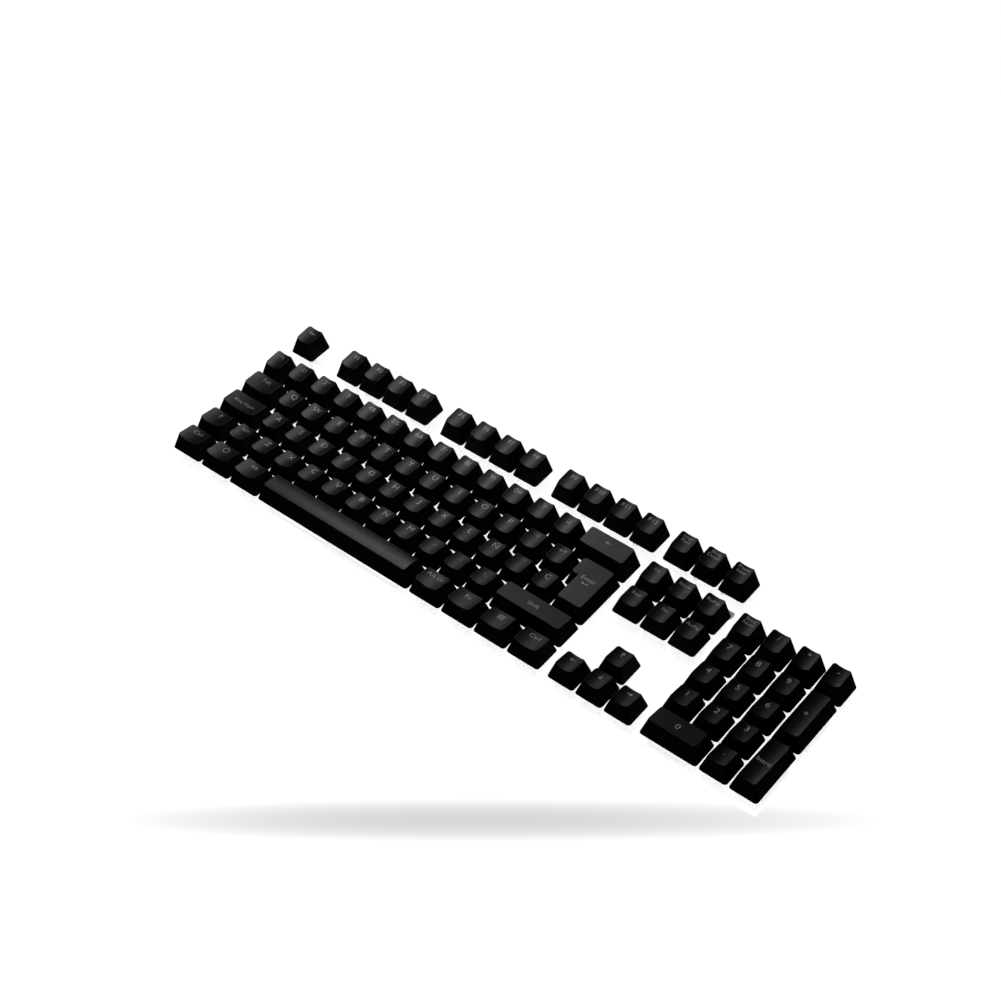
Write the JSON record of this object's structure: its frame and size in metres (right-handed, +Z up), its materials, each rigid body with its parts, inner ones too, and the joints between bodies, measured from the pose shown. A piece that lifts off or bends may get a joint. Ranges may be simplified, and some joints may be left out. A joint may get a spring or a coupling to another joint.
{
  "type": "mechanical keyboard",
  "caption": "Full-size mechanical keyboard with tall sculpted black keycaps that press on clear switches over a slim clear plate, with no bezel.",
  "frame": {"origin": "centre of the keyboard's outline, on the surface it stands on", "axes": "+X along the rows to the right, +Y from the space bar towards the function keys, +Z up out of the keys"},
  "size_m": [0.4274, 0.1222, 0.0339],
  "materials": {
    "black_keycap_plastic": "finely textured matte",
    "clear_acrylic": "polished clear",
    "clear_switch_plastic": "moulded clear",
    "white_circuit_board": "satin solder mask",
    "white_flex_link": "satin",
    "spring_steel": "drawn wire",
    "lamp_plastic": "milky",
    "chip_plastic": "moulded matte",
    "socket_steel": "plated",
    "nickel_spacer": "nickel plated",
    "screw_steel": "zinc plated",
    "foot_rubber": "frosted silicone",
    "stabiliser_steel": "drawn wire"
  },
  "bodies": {
    "root": {"bottom_plate": "clear_acrylic", "switch_plates": "clear_acrylic", "circuit_boards": "white_circuit_board", "board_links": "white_flex_link", "switch_lower_housings": "clear_switch_plastic", "switch_upper_housings": "clear_switch_plastic", "key_springs": "spring_steel", "key_lamps": "lamp_plastic", "stabiliser_housings": "clear_switch_plastic", "controller_chip": "chip_plastic", "usb_c_socket": "socket_steel", "spacers": "nickel_spacer", "case_screws": "screw_steel", "rubber_feet": "foot_rubber"},
    "key_q": {"key_q": "black_keycap_plastic"},
    "key_w": {"key_w": "black_keycap_plastic"},
    "key_e": {"key_e": "black_keycap_plastic"},
    "key_r": {"key_r": "black_keycap_plastic"},
    "key_t": {"key_t": "black_keycap_plastic"},
    "key_y": {"key_y": "black_keycap_plastic"},
    "key_u": {"key_u": "black_keycap_plastic"},
    "key_i": {"key_i": "black_keycap_plastic"},
    "key_o": {"key_o": "black_keycap_plastic"},
    "key_p": {"key_p": "black_keycap_plastic"},
    "key_a": {"key_a": "black_keycap_plastic"},
    "key_s": {"key_s": "black_keycap_plastic"},
    "key_d": {"key_d": "black_keycap_plastic"},
    "key_f": {"key_f": "black_keycap_plastic"},
    "key_g": {"key_g": "black_keycap_plastic"},
    "key_h": {"key_h": "black_keycap_plastic"},
    "key_j": {"key_j": "black_keycap_plastic"},
    "key_k": {"key_k": "black_keycap_plastic"},
    "key_l": {"key_l": "black_keycap_plastic"},
    "key_z": {"key_z": "black_keycap_plastic"},
    "key_x": {"key_x": "black_keycap_plastic"},
    "key_c": {"key_c": "black_keycap_plastic"},
    "key_v": {"key_v": "black_keycap_plastic"},
    "key_b": {"key_b": "black_keycap_plastic"},
    "key_n": {"key_n": "black_keycap_plastic"},
    "key_m": {"key_m": "black_keycap_plastic"},
    "key_space": {"key_space": "black_keycap_plastic"},
    "key_backspace": {"key_backspace": "black_keycap_plastic"},
    "key_enter": {"key_enter": "black_keycap_plastic"},
    "key_right_shift": {"key_right_shift": "black_keycap_plastic"},
    "key_num_0": {"key_num_0": "black_keycap_plastic"},
    "key_num_plus": {"key_num_plus": "black_keycap_plastic"},
    "key_num_enter": {"key_num_enter": "black_keycap_plastic"},
    "function_keys": {"function_keys": "black_keycap_plastic"},
    "number_row_keys": {"number_row_keys": "black_keycap_plastic"},
    "punctuation_keys": {"punctuation_keys": "black_keycap_plastic"},
    "modifier_keys": {"modifier_keys": "black_keycap_plastic"},
    "navigation_keys": {"navigation_keys": "black_keycap_plastic"},
    "numpad_keys": {"numpad_keys": "black_keycap_plastic"},
    "wire_backspace": {"wire_backspace": "stabiliser_steel"},
    "wire_enter": {"wire_enter": "stabiliser_steel"},
    "wire_num_0": {"wire_num_0": "stabiliser_steel"},
    "wire_num_enter": {"wire_num_enter": "stabiliser_steel"},
    "wire_num_plus": {"wire_num_plus": "stabiliser_steel"},
    "wire_right_shift": {"wire_right_shift": "stabiliser_steel"},
    "wire_space": {"wire_space": "stabiliser_steel"}
  },
  "joints": [
    {"name": "q_press", "type": "slide", "parent": "root", "child": "key_q", "axis": [0, 0, -1], "range_m": [0, 0.004], "stiffness_N_per_m": 75, "springref_m": -0.004, "deforming": ["key_springs"]},
    {"name": "w_press", "type": "slide", "parent": "root", "child": "key_w", "axis": [0, 0, -1], "range_m": [0, 0.004], "stiffness_N_per_m": 75, "springref_m": -0.004, "deforming": ["key_springs"]},
    {"name": "e_press", "type": "slide", "parent": "root", "child": "key_e", "axis": [0, 0, -1], "range_m": [0, 0.004], "stiffness_N_per_m": 75, "springref_m": -0.004, "deforming": ["key_springs"]},
    {"name": "r_press", "type": "slide", "parent": "root", "child": "key_r", "axis": [0, 0, -1], "range_m": [0, 0.004], "stiffness_N_per_m": 75, "springref_m": -0.004, "deforming": ["key_springs"]},
    {"name": "t_press", "type": "slide", "parent": "root", "child": "key_t", "axis": [0, 0, -1], "range_m": [0, 0.004], "stiffness_N_per_m": 75, "springref_m": -0.004, "deforming": ["key_springs"]},
    {"name": "y_press", "type": "slide", "parent": "root", "child": "key_y", "axis": [0, 0, -1], "range_m": [0, 0.004], "stiffness_N_per_m": 75, "springref_m": -0.004, "deforming": ["key_springs"]},
    {"name": "u_press", "type": "slide", "parent": "root", "child": "key_u", "axis": [0, 0, -1], "range_m": [0, 0.004], "stiffness_N_per_m": 75, "springref_m": -0.004, "deforming": ["key_springs"]},
    {"name": "i_press", "type": "slide", "parent": "root", "child": "key_i", "axis": [0, 0, -1], "range_m": [0, 0.004], "stiffness_N_per_m": 75, "springref_m": -0.004, "deforming": ["key_springs"]},
    {"name": "o_press", "type": "slide", "parent": "root", "child": "key_o", "axis": [0, 0, -1], "range_m": [0, 0.004], "stiffness_N_per_m": 75, "springref_m": -0.004, "deforming": ["key_springs"]},
    {"name": "p_press", "type": "slide", "parent": "root", "child": "key_p", "axis": [0, 0, -1], "range_m": [0, 0.004], "stiffness_N_per_m": 75, "springref_m": -0.004, "deforming": ["key_springs"]},
    {"name": "a_press", "type": "slide", "parent": "root", "child": "key_a", "axis": [0, 0, -1], "range_m": [0, 0.004], "stiffness_N_per_m": 75, "springref_m": -0.004, "deforming": ["key_springs"]},
    {"name": "s_press", "type": "slide", "parent": "root", "child": "key_s", "axis": [0, 0, -1], "range_m": [0, 0.004], "stiffness_N_per_m": 75, "springref_m": -0.004, "deforming": ["key_springs"]},
    {"name": "d_press", "type": "slide", "parent": "root", "child": "key_d", "axis": [0, 0, -1], "range_m": [0, 0.004], "stiffness_N_per_m": 75, "springref_m": -0.004, "deforming": ["key_springs"]},
    {"name": "f_press", "type": "slide", "parent": "root", "child": "key_f", "axis": [0, 0, -1], "range_m": [0, 0.004], "stiffness_N_per_m": 75, "springref_m": -0.004, "deforming": ["key_springs"]},
    {"name": "g_press", "type": "slide", "parent": "root", "child": "key_g", "axis": [0, 0, -1], "range_m": [0, 0.004], "stiffness_N_per_m": 75, "springref_m": -0.004, "deforming": ["key_springs"]},
    {"name": "h_press", "type": "slide", "parent": "root", "child": "key_h", "axis": [0, 0, -1], "range_m": [0, 0.004], "stiffness_N_per_m": 75, "springref_m": -0.004, "deforming": ["key_springs"]},
    {"name": "j_press", "type": "slide", "parent": "root", "child": "key_j", "axis": [0, 0, -1], "range_m": [0, 0.004], "stiffness_N_per_m": 75, "springref_m": -0.004, "deforming": ["key_springs"]},
    {"name": "k_press", "type": "slide", "parent": "root", "child": "key_k", "axis": [0, 0, -1], "range_m": [0, 0.004], "stiffness_N_per_m": 75, "springref_m": -0.004, "deforming": ["key_springs"]},
    {"name": "l_press", "type": "slide", "parent": "root", "child": "key_l", "axis": [0, 0, -1], "range_m": [0, 0.004], "stiffness_N_per_m": 75, "springref_m": -0.004, "deforming": ["key_springs"]},
    {"name": "z_press", "type": "slide", "parent": "root", "child": "key_z", "axis": [0, 0, -1], "range_m": [0, 0.004], "stiffness_N_per_m": 75, "springref_m": -0.004, "deforming": ["key_springs"]},
    {"name": "x_press", "type": "slide", "parent": "root", "child": "key_x", "axis": [0, 0, -1], "range_m": [0, 0.004], "stiffness_N_per_m": 75, "springref_m": -0.004, "deforming": ["key_springs"]},
    {"name": "c_press", "type": "slide", "parent": "root", "child": "key_c", "axis": [0, 0, -1], "range_m": [0, 0.004], "stiffness_N_per_m": 75, "springref_m": -0.004, "deforming": ["key_springs"]},
    {"name": "v_press", "type": "slide", "parent": "root", "child": "key_v", "axis": [0, 0, -1], "range_m": [0, 0.004], "stiffness_N_per_m": 75, "springref_m": -0.004, "deforming": ["key_springs"]},
    {"name": "b_press", "type": "slide", "parent": "root", "child": "key_b", "axis": [0, 0, -1], "range_m": [0, 0.004], "stiffness_N_per_m": 75, "springref_m": -0.004, "deforming": ["key_springs"]},
    {"name": "n_press", "type": "slide", "parent": "root", "child": "key_n", "axis": [0, 0, -1], "range_m": [0, 0.004], "stiffness_N_per_m": 75, "springref_m": -0.004, "deforming": ["key_springs"]},
    {"name": "m_press", "type": "slide", "parent": "root", "child": "key_m", "axis": [0, 0, -1], "range_m": [0, 0.004], "stiffness_N_per_m": 75, "springref_m": -0.004, "deforming": ["key_springs"]},
    {"name": "space_press", "type": "slide", "parent": "root", "child": "key_space", "axis": [0, 0, -1], "range_m": [0, 0.004], "stiffness_N_per_m": 75, "springref_m": -0.004, "deforming": ["key_springs"]},
    {"name": "backspace_press", "type": "slide", "parent": "root", "child": "key_backspace", "axis": [0, 0, -1], "range_m": [0, 0.004], "stiffness_N_per_m": 75, "springref_m": -0.004, "deforming": ["key_springs"]},
    {"name": "enter_press", "type": "slide", "parent": "root", "child": "key_enter", "axis": [0, 0, -1], "range_m": [0, 0.004], "stiffness_N_per_m": 75, "springref_m": -0.004, "deforming": ["key_springs"]},
    {"name": "right_shift_press", "type": "slide", "parent": "root", "child": "key_right_shift", "axis": [0, 0, -1], "range_m": [0, 0.004], "stiffness_N_per_m": 75, "springref_m": -0.004, "deforming": ["key_springs"]},
    {"name": "num_0_press", "type": "slide", "parent": "root", "child": "key_num_0", "axis": [0, 0, -1], "range_m": [0, 0.004], "stiffness_N_per_m": 75, "springref_m": -0.004, "deforming": ["key_springs"]},
    {"name": "num_plus_press", "type": "slide", "parent": "root", "child": "key_num_plus", "axis": [0, 0, -1], "range_m": [0, 0.004], "stiffness_N_per_m": 75, "springref_m": -0.004, "deforming": ["key_springs"]},
    {"name": "num_enter_press", "type": "slide", "parent": "root", "child": "key_num_enter", "axis": [0, 0, -1], "range_m": [0, 0.004], "stiffness_N_per_m": 75, "springref_m": -0.004, "deforming": ["key_springs"]},
    {"name": "function_keys_press", "type": "slide", "parent": "root", "child": "function_keys", "axis": [0, 0, -1], "range_m": [0, 0.004], "stiffness_N_per_m": 975, "springref_m": -0.004, "deforming": ["key_springs"]},
    {"name": "number_row_keys_press", "type": "slide", "parent": "root", "child": "number_row_keys", "axis": [0, 0, -1], "range_m": [0, 0.004], "stiffness_N_per_m": 975, "springref_m": -0.004, "deforming": ["key_springs"]},
    {"name": "punctuation_keys_press", "type": "slide", "parent": "root", "child": "punctuation_keys", "axis": [0, 0, -1], "range_m": [0, 0.004], "stiffness_N_per_m": 675, "springref_m": -0.004, "deforming": ["key_springs"]},
    {"name": "modifier_keys_press", "type": "slide", "parent": "root", "child": "modifier_keys", "axis": [0, 0, -1], "range_m": [0, 0.004], "stiffness_N_per_m": 750, "springref_m": -0.004, "deforming": ["key_springs"]},
    {"name": "navigation_keys_press", "type": "slide", "parent": "root", "child": "navigation_keys", "axis": [0, 0, -1], "range_m": [0, 0.004], "stiffness_N_per_m": 975, "springref_m": -0.004, "deforming": ["key_springs"]},
    {"name": "numpad_keys_press", "type": "slide", "parent": "root", "child": "numpad_keys", "axis": [0, 0, -1], "range_m": [0, 0.004], "stiffness_N_per_m": 1050, "springref_m": -0.004, "deforming": ["key_springs"]},
    {"name": "wire_backspace_swing", "type": "hinge", "parent": "root", "child": "wire_backspace", "pos_m": [0.05239, 0.01582, 0.0165], "axis": [-1, 0, 0], "range_deg": [0, 29.9]},
    {"name": "wire_enter_swing", "type": "hinge", "parent": "root", "child": "wire_enter", "pos_m": [0.06773, -0.00455, 0.0165], "axis": [0, -1, 0], "range_deg": [0, 29.9]},
    {"name": "wire_num_0_swing", "type": "hinge", "parent": "root", "child": "wire_num_0", "pos_m": [0.15716, -0.06037, 0.0165], "axis": [-1, 0, 0], "range_deg": [0, 29.9]},
    {"name": "wire_num_enter_swing", "type": "hinge", "parent": "root", "child": "wire_num_enter", "pos_m": [0.21299, -0.04265, 0.0165], "axis": [0, -1, 0], "range_deg": [0, 29.9]},
    {"name": "wire_num_plus_swing", "type": "hinge", "parent": "root", "child": "wire_num_plus", "pos_m": [0.21299, -0.00455, 0.0165], "axis": [0, -1, 0], "range_deg": [0, 29.9]},
    {"name": "wire_right_shift_swing", "type": "hinge", "parent": "root", "child": "wire_right_shift", "pos_m": [0.04524, -0.04133, 0.0165], "axis": [-1, 0, 0], "range_deg": [0, 29.9]},
    {"name": "wire_space_swing", "type": "hinge", "parent": "root", "child": "wire_space", "pos_m": [-0.08334, -0.06037, 0.0165], "axis": [-1, 0, 0], "range_deg": [0, 29.9]}
  ],
  "couplings": [
    {"joint": "wire_backspace_swing", "follows": "backspace_press", "rad_per_m": 130.29},
    {"joint": "wire_enter_swing", "follows": "enter_press", "rad_per_m": 130.29},
    {"joint": "wire_num_0_swing", "follows": "num_0_press", "rad_per_m": 130.29},
    {"joint": "wire_num_enter_swing", "follows": "num_enter_press", "rad_per_m": 130.29},
    {"joint": "wire_num_plus_swing", "follows": "num_plus_press", "rad_per_m": 130.29},
    {"joint": "wire_right_shift_swing", "follows": "right_shift_press", "rad_per_m": 130.29},
    {"joint": "wire_space_swing", "follows": "space_press", "rad_per_m": 130.29}
  ]
}
